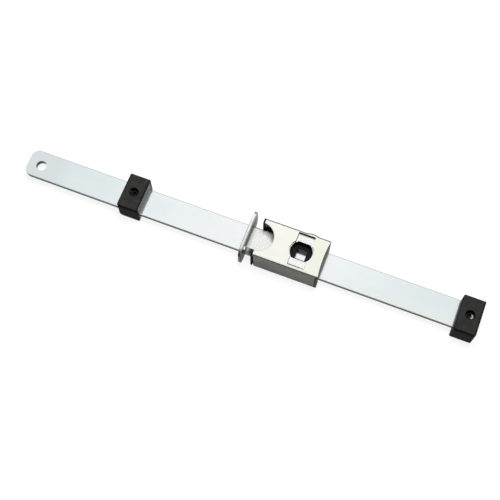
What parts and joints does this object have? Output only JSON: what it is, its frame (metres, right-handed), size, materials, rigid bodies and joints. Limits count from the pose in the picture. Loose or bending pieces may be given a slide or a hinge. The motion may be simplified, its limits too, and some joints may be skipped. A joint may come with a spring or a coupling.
{
  "type": "window espagnolette",
  "caption": "Sliding drive bar with a gear case, turned by a square window spindle, and two adjustable lock blocks clamped on the bar.",
  "frame": {"origin": "on the spindle axis, on the plane that the two lock blocks stand on", "axes": "+X along the drive bar towards the right block, +Y across the bar, +Z along the spindle towards the handle side"},
  "size_m": [0.3358, 0.0344, 0.0249],
  "materials": {
    "bar_zinc": "bright zinc plated, faintly brushed along the bar",
    "cover_cream": "cream passivated steel sheet, satin",
    "saddle_zinc": "bright zinc plated sheet",
    "black_moulding": "black moulded plastic",
    "hub_black": "black coated zinc casting",
    "pin_steel": "ground steel",
    "block_black": "black moulded polyamide, faintly grained",
    "screw_black": "black oxide steel, worn bright in the socket"
  },
  "bodies": {
    "case": {"case_cover": "cover_cream", "inner_saddle": "saddle_zinc", "end_flange": "saddle_zinc", "end_frame": "black_moulding", "case_back_plate": "saddle_zinc", "hub_carrier": "black_moulding", "bar_glide": "black_moulding", "glide_rivets": "saddle_zinc"},
    "bar": {"drive_bar": "bar_zinc"},
    "hub": {"spindle_hub": "hub_black", "hub_drive_pin": "pin_steel"},
    "left_block": {"lock_block_left": "block_black", "set_screw_left": "screw_black"},
    "right_block": {"lock_block_right": "block_black", "set_screw_right": "screw_black"}
  },
  "joints": [
    {"name": "bar_slide", "type": "slide", "parent": "case", "child": "bar", "axis": [1, 0, 0], "range_m": [0, 0.0101]},
    {"name": "hub_turn", "type": "hinge", "parent": "case", "child": "hub", "pos_m": [0, 0, 0.0129], "axis": [0, 0, -1], "range_deg": [0, 90]},
    {"name": "left_block_slide", "type": "slide", "parent": "bar", "child": "left_block", "axis": [1, 0, 0], "range_m": [-0.06, 0.065]},
    {"name": "right_block_slide", "type": "slide", "parent": "bar", "child": "right_block", "axis": [1, 0, 0], "range_m": [-0.088, 0.002]}
  ],
  "couplings": [
    {"joint": "hub_turn", "follows": "bar_slide", "rad_per_m": 155}
  ]
}
